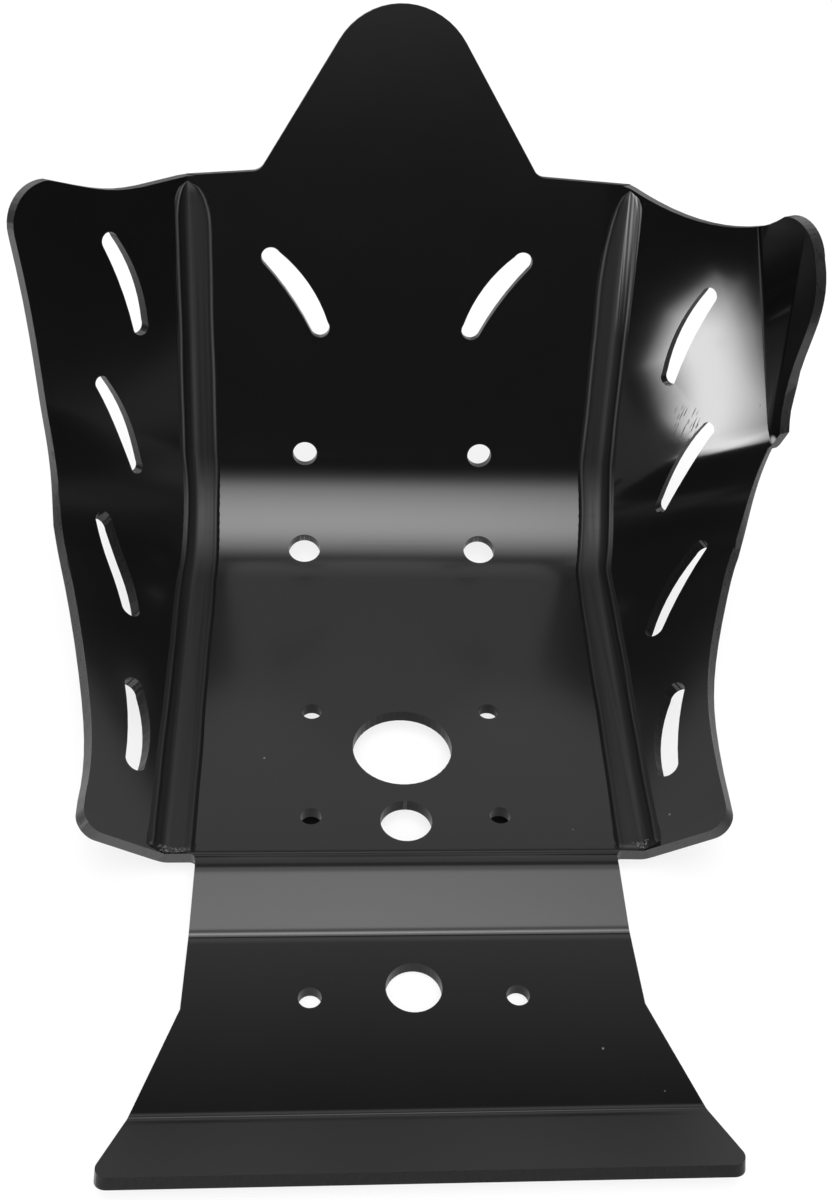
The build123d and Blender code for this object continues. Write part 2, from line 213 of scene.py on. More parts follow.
# Finish of the beads: shine and roughness, streaks, grey of the highlights painted on the rims and the heights they
# grow over, grey of the reflection painted on the wing half's top, left and right, with its border, heights and
# streaks, and marks.
bead_shine, bead_gloss = 0.3, (0.46, 0.58)
streak_stretch, streak_share = (900.0, 9.0, 9.0), (0.8, 1.25)
rim_highlight_grey, rim_highlight_heights = 0.06, (0.01, 0.06)
left_top_reflection_grey, right_top_reflection_grey = 0.0, 0.22
top_reflection_border, top_reflection_heights, top_reflection_streaks = (0.46, 0.50), (0.105, 0.165), (0.42, 0.62)
bead_scratches, bead_scratch_dull, bead_dust_grey = 0.5, 0.2, 0.1

# Routed edges: roughness, darkest share of their grey, and stretch and depth of the cutter lines.
cutter_gloss, cutter_dark = (0.26, 0.36), 0.3
cutter_stretch, cutter_depth = (900.0, 900.0, 110.0), 0.00008

# Torn ends of the beads: greys, roughness, and scale and depth of the grain.
torn_greys, torn_gloss = (0.004, 0.03), (0.25, 0.5)
grain_scale, grain_depth = 500.0, 0.0006

# Studio floor: level, middle, radius, greys, grain and roughness, how white the camera sees it, and the two spots of
# painted shadow under the rear bolt holes, with their core and reach.
floor_level = cad_box[0][2] - 0.0005
floor_middle = (-0.3, 0.35, floor_level)
floor_radius = 0.8
floor_greys = (0.84, 0.88)
floor_grain, floor_roughness = 40.0, 0.9
floor_white = 0.8
floor_shade = [(-0.0425, -0.0211, floor_level), (0.0436, -0.0216, floor_level)]
shade_core, shade_reach = 0.010, 0.014

# How bright reflections see the floor, on the left and on the right, with the border between, and its dark corner at
# the left rear, by its borders across and along the plate.
mirror_brightness, mirror_border = (0.95, 0.65), (-0.1, 0.25)
corner_across, corner_along = (-0.5, -0.35), (-0.22, -0.1)

# Six nested lamps on the left, from the narrowest and tallest to the widest and lowest: their sides, tops and
# distance, each with its shift from lamp to lamp, their width when turned to the aim, and their brightness.
lamp_count = 6
lamp_left, left_shift = -1.0, -0.002
lamp_front, front_shift = -0.392, 0.008
lamp_rear, rear_shift = -0.44, -0.018
lamp_top, top_shift = 0.115, -0.013
lamp_bottom = -0.20
lamp_aim = (0.15, 0.2, 0.12)
lamp_turn = 0.87
lamp_brightness = 3.0

# Surroundings: brightness of the overhead softbox and of the grey backdrop by degrees from the horizon behind the
# camera, over the top, to the one ahead; then by distance to the side.
softbox_height = [(12, 0.0), (20, 0.07), (26, 0.26), (33, 0.53), (45, 0.75), (57, 0.89), (68, 0.94), (77, 0.91),
                  (86, 0.72), (95, 0.47), (103, 0.24), (108, 0.1), (113, 0.02), (120, 0.0)]
softbox_width = [(0.0, 1.0), (0.16, 0.95), (0.3, 0.45), (0.45, 0.08), (0.6, 0.0)]
softbox_brightness = 8.0
backdrop_height = [(118, 0.0), (126, 0.7), (135, 0.88), (160, 0.88), (180, 0.7)]
backdrop_width = [(0.0, 1.0), (0.65, 0.95), (0.85, 0.5), (0.97, 0.05)]
room_brightness = 0.02

# The photo's camera: place in metres, turn in degrees, lens and sensor in millimetres.
camera_place = (-0.040744, -0.467569, 0.510071)
camera_turn = (48.73312, -2.76843, -2.69438)
camera_lens, camera_sensor = 45.0, 36.0


def only(piece):
    """Makes one piece the selected and active one."""
    bpy.ops.object.select_all(action="DESELECT")
    piece.select_set(True)
    bpy.context.view_layer.objects.active = piece


def named(piece, name):
    """Names a piece and its mesh."""
    piece.name = name
    piece.data.name = name


# Nodes

def node(tree, kind, label=None, **values):
    """Adds a node and sets its properties and its inputs by name."""
    made = tree.nodes.new(kind)
    if label:
        made.label = label
    for name, value in values.items():
        if hasattr(made, name) and name not in made.inputs:
            setattr(made, name, value)
        else:
            made.inputs[name.replace("_", " ")].default_value = value
    return made


def math_node(tree, operation, *values):
    """A maths node fed by sockets or plain numbers."""
    made = node(tree, "ShaderNodeMath", operation=operation)
    for slot, value in enumerate(values):
        if isinstance(value, (int, float)):
            made.inputs[slot].default_value = value
        else:
            tree.links.new(value, made.inputs[slot])
    return made.outputs["Value"]


def plus(tree, first, *others):
    """Sum of sockets and plain numbers."""
    for other in others:
        first = math_node(tree, "ADD", first, other)
    return first


def times(tree, first, *others):
    """Product of sockets and plain numbers."""
    for other in others:
        first = math_node(tree, "MULTIPLY", first, other)
    return first


def axes(tree, place):
    """The outputs X, Y and Z of a place."""
    parts = node(tree, "ShaderNodeSeparateXYZ")
    tree.links.new(place, parts.inputs["Vector"])
    return parts.outputs


def along_direction(tree, place, direction):
    """How far a place lies along a direction."""
    part = node(tree, "ShaderNodeVectorMath", operation="DOT_PRODUCT")
    tree.links.new(place, part.inputs[0])
    part.inputs[1].default_value = direction
    return part.outputs["Value"]


def spread(tree, value, low, high, to_low, to_high, smooth=False):
    """Maps a value from one span to another, held at the ends."""
    made = node(tree, "ShaderNodeMapRange", From_Min=low, From_Max=high, To_Min=to_low, To_Max=to_high)
    if smooth:
        made.interpolation_type = "SMOOTHSTEP"
    tree.links.new(value, made.inputs["Value"])
    return made.outputs["Result"]


def ramp(tree, value, stops, label):
    """A grey ramp through (place, value) stops."""
    made = node(tree, "ShaderNodeValToRGB", label)
    points = made.color_ramp.elements
    while len(points) < len(stops):
        points.new(0.5)
    for point, (place, grey) in zip(points, stops):
        point.position = place
        point.color = (grey, grey, grey, 1.0)
    tree.links.new(value, made.inputs["Fac"])
    return made.outputs["Color"]


def tones(tree, value, low, high):
    """Two slightly cool greys of a finish, mixed by a value."""
    made = node(tree, "ShaderNodeValToRGB")
    for element, grey in zip(made.color_ramp.elements, (low, high)):
        element.color = (grey, grey, grey * cool_share, 1.0)
    tree.links.new(value, made.inputs["Fac"])
    return made.outputs["Color"]


def cloud(tree, place, scale, stretch=None, detail=3.0):
    """Noise over the piece, stretched along its axes where asked."""
    if stretch:
        run = node(tree, "ShaderNodeMapping")
        run.inputs["Scale"].default_value = stretch
        tree.links.new(place, run.inputs["Vector"])
        place = run.outputs["Vector"]
    made = node(tree, "ShaderNodeTexNoise", Scale=scale, Detail=detail)
    tree.links.new(place, made.inputs["Vector"])
    return made.outputs["Fac"]


def close_to(tree, place, spot, core, reach):
    """One within core of a spot, nothing beyond reach."""
    away = node(tree, "ShaderNodeVectorMath", operation="DISTANCE")
    tree.links.new(place, away.inputs[0])
    away.inputs[1].default_value = spot
    return spread(tree, away.outputs["Value"], core, reach, 1.0, 0.0, True)


def ridge(tree, along, centre, width, height):
    """A low rounded ridge, or a groove where height is negative, across the plate at one place along it."""
    away = math_node(tree, "DIVIDE", math_node(tree, "SUBTRACT", along, centre), width)
    return times(tree, math_node(tree, "EXPONENT", times(tree, away, away, -1.0)), height)


def bumped(tree, shader, height):
    """Feeds a height in metres to the shader's normal."""
    bump = node(tree, "ShaderNodeBump", Strength=1.0, Distance=1.0)
    tree.links.new(height, bump.inputs["Height"])
    tree.links.new(bump.outputs["Normal"], shader.inputs["Normal"])


def blended(tree, share, first, second, out):
    """Mixes two shaders into the output."""
    blend = node(tree, "ShaderNodeMixShader")
    for slot, value in enumerate((share, first, second)):
        tree.links.new(value, blend.inputs[slot])
    tree.links.new(blend.outputs["Shader"], out.inputs["Surface"])


# The sheet

class BentFace:
    """Inner face of two flats joined by a round bend: tells how far a point stands off it, and its normal there."""

    def __init__(self, first_point, first_inside, second_point, second_inside, radius):
        self.first_point = Vector(first_point)
        self.second_point = Vector(second_point)
        self.first = first_inside
        self.second = second_inside
        self.radius = radius
        self.axis = first_inside.cross(second_inside).normalized()
        # The bend's centre stands off both flats by the radius.
        lean = first_inside.dot(second_inside)
        self.turn = math.acos(lean)
        step = second_inside.dot(self.first_point - self.second_point)
        along_second = (radius - step - radius * lean) / (1 - lean * lean)
        along_first = radius - along_second * lean
        self.centre = self.first_point + first_inside * along_first + second_inside * along_second

    def at(self, point):
        """How far a point stands off the face, and the normal beside it."""
        arm = self.centre - point
        arm -= self.axis * arm.dot(self.axis)
        turn = math.atan2(self.first.cross(arm).dot(self.axis), self.first.dot(arm))
        if turn <= 0.0:
            return self.first.dot(point - self.first_point), self.first
        if turn >= self.turn:
            return self.second.dot(point - self.second_point), self.second
        return self.radius - arm.length, arm.normalized()

    def eased(self, point):
        """Normal with the bend running out gently into both flats, as a hot fold does."""
        _, inside = self.at(point)
        share = self.first.angle(inside, 0.0) / self.turn
        share = share * share * (3 - 2 * share)
        return Quaternion(self.axis, self.turn * share) @ self.first


def wing_inside(side, splay, along, inside):
    """Inner normal of a wing's flat beside a fold that leans outwards by splay degrees."""
    lean = math.radians(splay)
    sideways = Vector((side, 0.0, 0.0))
    level_out = sideways * math.cos(lean) - along * math.sin(lean)
    return (inside * math.cos(wing_angle) - level_out * math.sin(wing_angle)).normalized()


base_face = BentFace((0.0, corner_y, 0.0), upwards, (0.0, corner_y, 0.0), front_inside, bend_radius)
left_face = BentFace((-left_fold, corner_y, 0.0), wing_inside(-1, 0.0, forwards, upwards),
                     (-left_fold, corner_y, 0.0), wing_inside(-1, 0.0, front_up, front_inside), left_wing_bend)
right_face = BentFace((right_floor_fold, corner_y, 0.0), wing_inside(1, right_floor_lean, forwards, upwards),
                      (right_panel_fold, corner_y, 0.0), wing_inside(1, right_panel_lean, front_up, front_inside),
                      right_wing_bend)
bent_faces = (base_face, left_face, right_face)


def skin_of(face):
    """Which bent face a face of the mesh lies on, and which way it looks."""
    for bent in bent_faces:
        height, inside = bent.at(face.center)
        facing = 1 if face.normal.dot(inside) > 0 else -1
        level = height if facing > 0 else height + sheet
        if abs(face.normal.dot(inside)) > squareness and -skin_below < level < bead_height + skin_above:
            return bent, facing
    return None, 0


def is_cut_face(piece, face):
    """A cut face has far more plastic behind it than the sheet is thick."""
    start = face.center - face.normal * hair_off
    found, point, _, _ = piece.ray_cast(start, -face.normal)
    return found and (point - start).length > cut_depth


def is_in_opening(piece, face):
    """A cut face in a slot or a hole looks at the wall across it."""
    for lean in (0.0, look_lean):
        look = (face.normal + Vector((lean, lean, 0.0))).normalized()
        found, point, facing, _ = piece.ray_cast(face.center + face.normal * hair_off, look)
        if found and (point - face.center).length < widest_opening and facing.dot(face.normal) < opposed:
            return True
    return False


def finish_of(piece, face):
    """Which finish a face has. The walls of the openings take a darker grey as painted shade, and the lip's rear edge
    takes it too.
    """
    if not is_cut_face(piece, face):
        return on_skin
    if is_in_opening(piece, face):
        return on_shaded_wall if face.center.x > right_wing else on_wall
    is_rear_edge = face.center.y < lip_fold and face.normal.y < opposed
    return on_wall if is_rear_edge else on_edge


def press_beads_flat(sheet_copy):
    """Lowers the plain beads of the copy into the sheet, where the rounded ones take their place."""
    for point in sheet_copy.data.vertices:
        lift = Vector()
        for bent in bent_faces:
            height, inside = bent.at(point.co)
            if point.co.y > step_fold and abs(height - bead_height) < hair_off:
                lift += inside
        # A point where two beads' faces meet goes down far enough to leave both.
        faces = round(lift.length)
        if faces:
            point.co -= lift * (bead_height + bead_sink) * faces / lift.length_squared


def ease_rims(sheet_copy):
    """Rounds the rims between cut faces and skin."""
    sides = {}
    for face in sheet_copy.data.polygons:
        for key in face.edge_keys:
            sides.setdefault(key, set()).add(face.material_index == on_skin)
    for part in (sheet_copy.data.polygons, sheet_copy.data.edges, sheet_copy.data.vertices):
        for item in part:
            item.select = False
    for edge in sheet_copy.data.edges:
        edge.select = len(sides.get(edge.key, ())) == 2
    bpy.ops.object.mode_set(mode="EDIT")
    bpy.ops.mesh.select_mode(type="EDGE")
    bpy.ops.mesh.bevel(offset=rim_round, segments=2, profile=0.5, clamp_overlap=True)
    bpy.ops.object.mode_set(mode="OBJECT")


def even_normals(sheet_copy):
    """Smooth normals that follow the flats and round bends of the real sheet."""
    bpy.ops.object.shade_smooth_by_angle(angle=math.radians(sheet_smooth))
    evener = sheet_copy.modifiers.new("even_faces", "WEIGHTED_NORMAL")
    evener.keep_sharp = True
    evener.weight = large_face_weight
    bpy.ops.object.modifier_apply(modifier=evener.name)
    mesh = sheet_copy.data
    normals = [Vector(corner.vector) for corner in mesh.corner_normals]
    for face in mesh.polygons:
        if face.center.y < step_fold or face.material_index != on_skin:
            continue
        bent, facing = skin_of(face)
        if bent:
            for corner in face.loop_indices:
                point = mesh.vertices[mesh.loops[corner].vertex_index].co
                inside = bent.eased(point) if bent is right_face else bent.at(point)[1]
                normals[corner] = inside * facing
    mesh.normals_split_custom_set([tuple(n) for n in normals])


def finished_sheet():
    """Copies the plate, sorts its faces by finish, eases the rims and evens the normals."""
    only(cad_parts["skid_plate"])
    bpy.ops.object.duplicate()
    piece = bpy.context.object
    named(piece, "skid_plate_sheet")
    piece.data.materials.clear()
    piece.data.materials.append(black_sheet())
    for name, shine, palest in cut_finishes:
        piece.data.materials.append(routed_edge(name, shine, palest))
    bpy.ops.object.mode_set(mode="EDIT")
    bpy.ops.mesh.select_all(action="SELECT")
    bpy.ops.mesh.remove_doubles(threshold=merge_gap)
    bpy.ops.mesh.dissolve_limited(angle_limit=math.radians(flat_angle))
    bpy.ops.object.mode_set(mode="OBJECT")
    for face in piece.data.polygons:
        face.material_index = finish_of(piece, face)
    press_beads_flat(piece)
    ease_rims(piece)
    even_normals(piece)
    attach(piece, "root")
    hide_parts("skid_plate")


# The beads

def base_run():
    """Points and inner normals along the base, from the bead's rear end over the bend to its top."""
    run = []
    for reach in rear_steps + [floor_step * step for step in range(1, floor_steps + 1)]:
        run.append((Vector((0.0, bead_rear + reach, 0.0)), upwards))
    for step in range(bend_steps):
        turn = front_angle * step / bend_steps
        place = (0.0, bend_start + bend_radius * math.sin(turn), bend_radius * (1 - math.cos(turn)))
        run.append((Vector(place), Vector((0.0, -math.sin(turn), math.cos(turn)))))
    corner = Vector((0.0, corner_y, 0.0))
    for step in range(panel_steps + 1):
        up = bend_reach + (bead_top - bend_reach) * step / panel_steps
        run.append((corner + front_up * up, front_inside))
    return run


def fold_point(side, wing_face, place):
    """Where the wing's face meets the base, beside a point of the base."""
    near, far = fold_nearest, fold_farthest
    for _ in range(fold_halvings):
        middle = (near + far) / 2
        if wing_face.at(place + Vector((side * middle, 0.0, 0.0)))[0] > 0:
            near = middle
        else:
            far = middle
    return place + Vector((side * near, 0.0, 0.0))


def rounded(reach, length):
    """Grows from nearly nothing to one like a round nose."""
    share = min(1.0, max(0.0, reach / length))
    return max(thinnest_nose, math.sqrt(1 - (1 - share) ** 2))


def bead_strip(name, side, wing_face, bead, finish):
    """Rounded bead with raised rims, laid along a long fold from the rear edge to the top."""
    run = base_run()
    folds = [fold_point(side, wing_face, place) for place, _ in run]
    trail = [0.0]
    for here, there in zip(folds, folds[1:]):
        trail.append(trail[-1] + (there - here).length)
    columns, rows = len(bead_section), len(run)
    bpy.ops.object.select_all(action="DESELECT")
    bpy.ops.mesh.primitive_grid_add(x_subdivisions=columns - 1, y_subdivisions=rows - 1, size=1.0)
    piece = bpy.context.object
    named(piece, name)
    chance = random.Random(bead_seed + side)
    for point in piece.data.vertices:
        column = round((point.co.x + 0.5) * (columns - 1))
        row = round((point.co.y + 0.5) * (rows - 1))
        fold = folds[row]
        along = (folds[min(row + 1, rows - 1)] - folds[max(row - 1, 0)]).normalized()
        base_inside = run[row][1]
        wing_inside_here = wing_face.at(fold)[1]
        base_out = along.cross(base_inside).normalized()
        base_out *= -side if base_out.x > 0 else side
        wing_out = along.cross(wing_inside_here).normalized()
        wing_out *= side if wing_out.x > 0 else -side
        kind, distance, height, _, _ = bead_section[column]
        to_rear = trail[row]
        to_top = trail[-1] - to_rear
        hand = slow_hand * math.sin(slow_pace * to_rear + side) + quick_hand * math.sin(quick_pace * to_rear)
        height *= min(rounded(to_top, top_nose), rounded(to_rear, rear_nose))
        if row == 0:
            height -= rear_tuck
        elif to_rear < torn_length:
            height += chance.uniform(torn_low, torn_high)
        if kind == "fold":
            point.co = fold + (base_inside + wing_inside_here).normalized() * height
            continue
        half = "wing" if kind.startswith("wing") else "base"
        out, inside = (wing_out, wing_inside_here) if half == "wing" else (base_out, base_inside)
        narrowing = rounded(to_top, bead[half + "_taper"])
        if kind.endswith("border"):
            distance = bead[half] + hand - distance
        point.co = fold + out * distance * narrowing + inside * height
    only(piece)
    bpy.ops.object.mode_set(mode="EDIT")
    bpy.ops.mesh.select_all(action="SELECT")
    middle = piece.data.polygons[len(piece.data.polygons) // 2]
    if middle.normal.dot(upwards - forwards) < 0:
        bpy.ops.mesh.flip_normals()
    bpy.ops.object.mode_set(mode="OBJECT")
    wall = piece.modifiers.new("bead_wall", "SOLIDIFY")
    wall.thickness = bead_wall
    wall.offset = -1.0
    bpy.ops.object.modifier_apply(modifier=wall.name)
    bpy.ops.object.shade_smooth_by_angle(angle=math.radians(bead_smooth))
    piece.data.materials.append(finish)
    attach(piece, "root")


def melted_end(name, side, wing_face, lumps, finish):
    """Ragged lumps of melted plastic where the bead breaks off at the rear edge."""
    fold = fold_point(side, wing_face, Vector((0.0, bead_rear, 0.0)))
    parts = []
    for number, (aside, ahead, up, size) in enumerate(lumps):
        bpy.ops.object.select_all(action="DESELECT")
        bpy.ops.mesh.primitive_ico_sphere_add(subdivisions=4, radius=1.0)
        lump = bpy.context.object
        centre = fold + Vector((-side * aside, ahead, up))
        # Each lump takes its own part of the noise.
        swirl_part = Vector((number * 3.1, side * 5.0, 0.0))
        ragged_part = Vector((0.0, number * 2.3, side * 7.0))
        for point in lump.data.vertices:
            swirl = noise.noise(point.co * swirl_size + swirl_part)
            ragged = noise.noise(point.co * ragged_size + ragged_part)
            reach = size * (1 + swirl_depth * swirl + ragged_depth * ragged)
            point.co = centre + Vector([a * b for a, b in zip(point.co, lump_stretch)]) * reach
        parts.append(lump)
    bpy.ops.object.select_all(action="DESELECT")
    for lump in parts:
        lump.select_set(True)
    bpy.context.view_layer.objects.active = parts[0]
    bpy.ops.object.join()
    piece = bpy.context.object
    named(piece, name)
    bpy.ops.object.shade_smooth_by_angle(angle=math.radians(lump_smooth))
    piece.data.materials.append(finish)
    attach(piece, "root")


# Finishes

def handling_marks():
    """Makes the group of fine strokes, running along x, and dust that the sheet and the beads share."""
    group = bpy.data.node_groups.new("handling_marks", "ShaderNodeTree")
    group.interface.new_socket("Place", in_out="INPUT", socket_type="NodeSocketVector")
    group.interface.new_socket("Scratch Amount", in_out="INPUT", socket_type="NodeSocketFloat")
    group.interface.new_socket("Scratches", in_out="OUTPUT", socket_type="NodeSocketFloat")
    group.interface.new_socket("Dust", in_out="OUTPUT", socket_type="NodeSocketFloat")
    start = group.nodes.new("NodeGroupInput")
    end = group.nodes.new("NodeGroupOutput")
    place = start.outputs["Place"]
    lines = spread(group, cloud(group, place, 1.0, stroke_stretch, 1.0), *stroke_noise, 0.0, 1.0)
    group.links.new(times(group, lines, start.outputs["Scratch Amount"]), end.inputs["Scratches"])
    specks = node(group, "ShaderNodeTexVoronoi", Scale=speck_scale)
    group.links.new(place, specks.inputs["Vector"])
    near = spread(group, specks.outputs["Distance"], *speck_size, 1.0, 0.0)
    few = math_node(group, "GREATER_THAN", axes(group, specks.outputs["Color"])["X"], dust_free)
    group.links.new(times(group, near, few), end.inputs["Dust"])


def marks_on(tree, place, amount):
    """Places the shared marks in a material; gives the scratches and the dust."""
    made = node(tree, "ShaderNodeGroup", node_tree=bpy.data.node_groups["handling_marks"])
    tree.links.new(place, made.inputs["Place"])
    if isinstance(amount, float):
        made.inputs["Scratch Amount"].default_value = amount
    else:
        tree.links.new(amount, made.inputs["Scratch Amount"])
    return made.outputs["Scratches"], made.outputs["Dust"]


def new_finish(name):
    """A material, its node tree, its shader and the place on the piece."""
    finish = bpy.data.materials.new(name)
    finish.use_nodes = True
    tree = finish.node_tree
    place = node(tree, "ShaderNodeTexCoord").outputs["Object"]
    return finish, tree, tree.nodes["Principled BSDF"], place


def ahead_of(tree, along, fold):
    """One ahead of a fold across the plate, nothing behind it."""
    return spread(tree, along, fold - zone_blur, fold + zone_blur, 0.0, 1.0, True)


def behind(tree, along, fold):
    """One behind a fold across the plate, nothing ahead of it."""
    return spread(tree, along, fold - zone_blur, fold + zone_blur, 1.0, 0.0, True)


def sheet_marks(tree, place):
    """Scuffs by the right wing's second slot, and dust all over."""
    turned = node(tree, "ShaderNodeCombineXYZ")
    for slot, direction in (("X", scuff_along), ("Y", scuff_across)):
        tree.links.new(along_direction(tree, place, direction), turned.inputs[slot])
    scuffed = close_to(tree, place, scuff_spot, scuff_core, scuff_reach)
    scratches, _ = marks_on(tree, turned.outputs["Vector"], scuffed)
    _, dust = marks_on(tree, place, 0.0)
    return scratches, dust


def above_right_bend(tree, place):
    """How far up the right wing a place lies from where its bend runs out."""
    up_wing = right_face.second.cross(right_face.axis).normalized()
    if up_wing.z < 0:
        up_wing = -up_wing
    return math_node(tree, "SUBTRACT", along_direction(tree, place, up_wing), right_face.centre.dot(up_wing))


def black_sheet():
    """Black sheet: glossy on the right wing's upper flat, satin elsewhere, duller on the step and the lip, with a
    painted sheen on the step and a painted glint at the foot of the flange's crease.
    """
    finish, tree, shader, place = new_finish("black_sheet")
    parts = axes(tree, place)
    across, along = parts["X"], parts["Y"]
    aside = math_node(tree, "ABSOLUTE", across)
    mottle = cloud(tree, place, mottle_scale)
    scratches, dust = sheet_marks(tree, place)
    on_step = times(tree, ahead_of(tree, along, guard_fold), behind(tree, along, step_fold))
    on_lip = behind(tree, along, lip_fold)
    on_trough = spread(tree, along, step_fold, step_fold + zone_blur, 0.0, 1.0)
    on_right = times(tree, spread(tree, across, *right_border, 0.0, 1.0), on_trough)
    above_bend = above_right_bend(tree, place)

    # The mottle is the sheet's own grey; the step's paler grey is a painted sheen.
    mottle_and_step_sheen = plus(tree, times(tree, mottle, mottle_share), on_step)
    # A painted glint: a pale spot at the foot of the flange's crease.
    painted_glint = close_to(tree, place, crease_glint_spot, crease_glint_core, crease_glint_reach)
    tone = plus(tree, tones(tree, mottle_and_step_sheen, *sheet_greys), times(tree, dust, dust_grey), times(tree, painted_glint, crease_glint_grey))
    tree.links.new(tone, shader.inputs["Base Color"])

    base_part = times(tree, spread(tree, across, *base_border, base_dull, 0.0, True), ahead_of(tree, along, step_fold))
    bend_part = times(tree, spread(tree, above_bend, *below_bend, below_bend_dull, 0.0, True), on_right)
    gloss = plus(tree, spread(tree, mottle, *noise_span, *wing_gloss), times(tree, on_step, step_dull),
                 times(tree, on_lip, lip_dull), base_part, bend_part,
                 times(tree, plus(tree, scratches, dust), mark_dull))
    tree.links.new(gloss, shader.inputs["Roughness"])

    wing_reach = math_node(tree, "MAXIMUM", math_node(tree, "SUBTRACT", aside, left_fold), 0.0)
    flatten = times(tree, wing_reach, spread(tree, along, *flatter_rear, rear_slope, 0.0), on_trough)
    sweep = times(tree, spread(tree, above_bend, -sweep_reach, sweep_reach, sweep_height, 0.0, True), on_right)
    relief = plus(tree, spread(tree, along, guard_fold, step_fold, 0.0, step_rise), flatten, sweep)
    on_tail = math_node(tree, "MAXIMUM", spread(tree, aside, *tail_side, 1.0, 0.0),
                        spread(tree, along, *tail_front, 1.0, 0.0))
    for centre, width, height in fold_lines:
        relief = plus(tree, relief, times(tree, ridge(tree, along, centre, width, height), on_tail))
    bumped(tree, shader, plus(tree, relief, times(tree, scratches, -scuff_depth)))
    return finish


def fold_bead(name, top_reflection_grey):
    """Drawn-out plastic of a fold bead: dull and streaked along the fold, with painted groove shade at its borders,
    painted highlights on its rims, and a painted reflection on the wing half near the top.
    """
    finish, tree, shader, place = new_finish(name)
    shader.inputs["Specular IOR Level"].default_value = bead_shine
    streak = cloud(tree, place, 1.0, streak_stretch, 2.0)
    scratches, dust = marks_on(tree, place, bead_scratches)
    height = axes(tree, place)["Z"]
    across = axes(tree, node(tree, "ShaderNodeTexCoord").outputs["UV"])["X"]
    last = len(bead_section) - 1
    # The greys across the bead hold painted groove shade: the darkest ones at its borders.
    grey = ramp(tree, across, [(i / last, row[3]) for i, row in enumerate(bead_section)], "grey across the bead")
    rim = ramp(tree, across, [(i / last, row[4]) for i, row in enumerate(bead_section)], "painted rim highlights")
    # Painted highlight on the rims, growing lighter higher up the plate.
    rim_highlight = times(tree, rim, spread(tree, height, *rim_highlight_heights, 0.1, 1.0, True), rim_highlight_grey)
    # Painted reflection: a paler grey on the wing half near the top of the plate.
    top = times(tree, spread(tree, across, *top_reflection_border, top_reflection_grey, 0.0),
                spread(tree, height, *top_reflection_heights, 0.0, 1.0), spread(tree, streak, *top_reflection_streaks, 0.15, 1.0))
    tone = plus(tree, grey, rim_highlight, top, times(tree, dust, bead_dust_grey))
    tone = times(tree, tone, spread(tree, streak, *noise_span, *streak_share))
    tree.links.new(tone, shader.inputs["Base Color"])
    gloss = plus(tree, spread(tree, streak, *noise_span, *bead_gloss), times(tree, scratches, bead_scratch_dull))
    tree.links.new(gloss, shader.inputs["Roughness"])
    return finish


def melted_plastic():
    """Shiny, torn plastic of the bead's broken ends."""
    finish, tree, shader, place = new_finish("melted_plastic")
    grain = cloud(tree, place, grain_scale)
    tree.links.new(tones(tree, grain, *torn_greys), shader.inputs["Base Color"])
    tree.links.new(spread(tree, grain, *noise_span, *torn_gloss), shader.inputs["Roughness"])
    bumped(tree, shader, spread(tree, grain, 0.0, 1.0, 0.0, grain_depth))
    return finish


def routed_edge(name, shine, palest):
    """Router-cut edge with fine cutter lines across the sheet."""
    finish, tree, shader, place = new_finish(name)
    shader.inputs["Specular IOR Level"].default_value = shine
    cutter = cloud(tree, place, 1.0, cutter_stretch, 2.0)
    tree.links.new(tones(tree, cutter, palest * cutter_dark, palest), shader.inputs["Base Color"])
    tree.links.new(spread(tree, cutter, *noise_span, *cutter_gloss), shader.inputs["Roughness"])
    bumped(tree, shader, spread(tree, cutter, 0.0, 1.0, 0.0, cutter_depth))
    return finish


# Studio

def floor_finish():
    """Pale floor, nearly white to the camera, with two spots of painted shadow under the rear bolt holes, that
    reflections see dimmer on the right and dark at the left rear.
    """
    finish, tree, shader, place = new_finish("pale_floor")
    shader.inputs["Roughness"].default_value = floor_roughness
    parts = axes(tree, place)
    across, along = parts["X"], parts["Y"]
    tone = ramp(tree, cloud(tree, place, floor_grain, None, 2.0), list(enumerate(floor_greys)), "floor greys")
    # Painted shadow: two dark spots under the rear bolt holes.
    shaded = 0.0
    for spot in floor_shade:
        shaded = math_node(tree, "MAXIMUM", close_to(tree, place, spot, shade_core, shade_reach), shaded)
    lit = math_node(tree, "SUBTRACT", 1.0, shaded)
    tree.links.new(times(tree, tone, lit), shader.inputs["Base Color"])
    path = node(tree, "ShaderNodeLightPath").outputs
    dark_corner = times(tree, spread(tree, across, *corner_across, 1.0, 0.0),
                        spread(tree, along, *corner_along, 1.0, 0.0))
    mirrored = times(tree, spread(tree, across, *mirror_border, *mirror_brightness),
                     math_node(tree, "SUBTRACT", 1.0, dark_corner), path["Is Glossy Ray"])
    white = node(tree, "ShaderNodeEmission", Strength=1.0)
    tree.links.new(plus(tree, mirrored, path["Is Camera Ray"]), white.inputs["Color"])
    share = plus(tree, times(tree, lit, floor_white, path["Is Camera Ray"]), path["Is Glossy Ray"])
    blended(tree, share, shader.outputs["BSDF"], white.outputs["Emission"], tree.nodes["Material Output"])
    return finish


def studio_floor():
    """Round floor just under the plate."""
    bpy.ops.object.select_all(action="DESELECT")
    bpy.ops.mesh.primitive_circle_add(vertices=96, radius=floor_radius, fill_type="NGON", location=floor_middle)
    floor = bpy.context.object
    floor.name = "studio_floor"
    bpy.ops.object.transform_apply(location=True, rotation=False, scale=False)
    floor.data.materials.append(floor_finish())


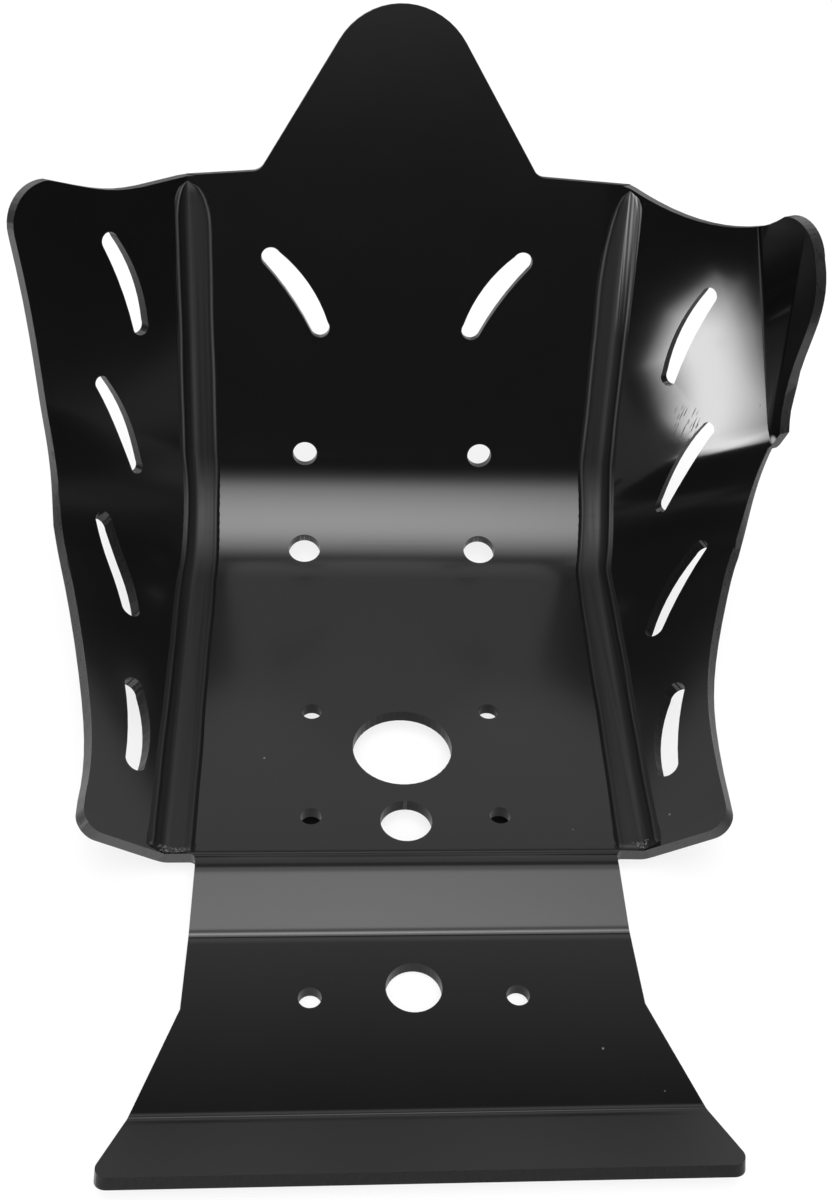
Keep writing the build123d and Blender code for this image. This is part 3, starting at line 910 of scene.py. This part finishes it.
def soft_box(name, place, width, length):
    """Lamp of an even brightness, turned to the plate."""
    light = bpy.data.lights.new(name, "AREA")
    light.shape = "RECTANGLE"
    light.size = width
    light.size_y = length
    light.energy = lamp_brightness * math.pi * width * length
    lamp = bpy.data.objects.new(name, light)
    bpy.context.scene.collection.objects.link(lamp)
    lamp.location = place
    lamp.rotation_euler = (Vector(lamp_aim) - Vector(place)).to_track_quat("-Z", "Y").to_euler()


def left_lamps():
    """Nested lamps that light the right wing with a soft-edged reflection."""
    for layer in range(lamp_count):
        front = lamp_front + front_shift * layer
        rear = lamp_rear + rear_shift * layer
        top = lamp_top + top_shift * layer
        place = (lamp_left + left_shift * layer, (front + rear) / 2, (top + lamp_bottom) / 2)
        soft_box("left_softbox_%d" % layer, place, lamp_turn * (front - rear), top - lamp_bottom)


def studio_world():
    """Overhead softbox that fades to the rear, grey backdrop ahead, dark room elsewhere; white to the camera."""
    world = bpy.data.worlds.new("studio_surround")
    bpy.context.scene.world = world
    world.use_nodes = True
    tree = world.node_tree
    surround = tree.nodes["Background"]
    parts = axes(tree, node(tree, "ShaderNodeTexCoord").outputs["Generated"])
    turn = math_node(tree, "ARCTAN2", parts["Z"], times(tree, parts["Y"], -1.0))
    turn = math_node(tree, "DIVIDE", turn, math.pi)
    aside = math_node(tree, "ABSOLUTE", parts["X"])
    softbox = times(tree, ramp(tree, turn, [(d / 180, v) for d, v in softbox_height], "softbox along the plate"),
                    ramp(tree, aside, softbox_width, "softbox across"), softbox_brightness)
    backdrop = times(tree, ramp(tree, turn, [(d / 180, v) for d, v in backdrop_height], "backdrop height"),
                     ramp(tree, aside, backdrop_width, "backdrop width"))
    tree.links.new(plus(tree, softbox, backdrop, room_brightness), surround.inputs["Color"])
    white = node(tree, "ShaderNodeBackground", Strength=1.0)
    white.inputs["Color"].default_value = (1.0, 1.0, 1.0, 1.0)
    blended(tree, node(tree, "ShaderNodeLightPath").outputs["Is Camera Ray"], surround.outputs["Background"],
            white.outputs["Background"], tree.nodes["World Output"])


def studio_camera():
    """The photo's view."""
    view = bpy.data.cameras.new("photo_view")
    view.lens = camera_lens
    view.sensor_width = camera_sensor
    camera = bpy.data.objects.new("photo_view", view)
    bpy.context.scene.collection.objects.link(camera)
    camera.location = camera_place
    camera.rotation_euler = [math.radians(a) for a in camera_turn]
    bpy.context.scene.camera = camera


bpy.context.scene.view_settings.view_transform = "Standard"
handling_marks()
finished_sheet()
bead_strip("left_fold_bead", -1, left_face, left_bead, fold_bead("left_bead_plastic", left_top_reflection_grey))
bead_strip("right_fold_bead", 1, right_face, right_bead, fold_bead("right_bead_plastic", right_top_reflection_grey))
torn = melted_plastic()
melted_end("left_bead_end", -1, left_face, left_lumps, torn)
melted_end("right_bead_end", 1, right_face, right_lumps, torn)
studio_floor()
studio_world()
left_lamps()
studio_camera()
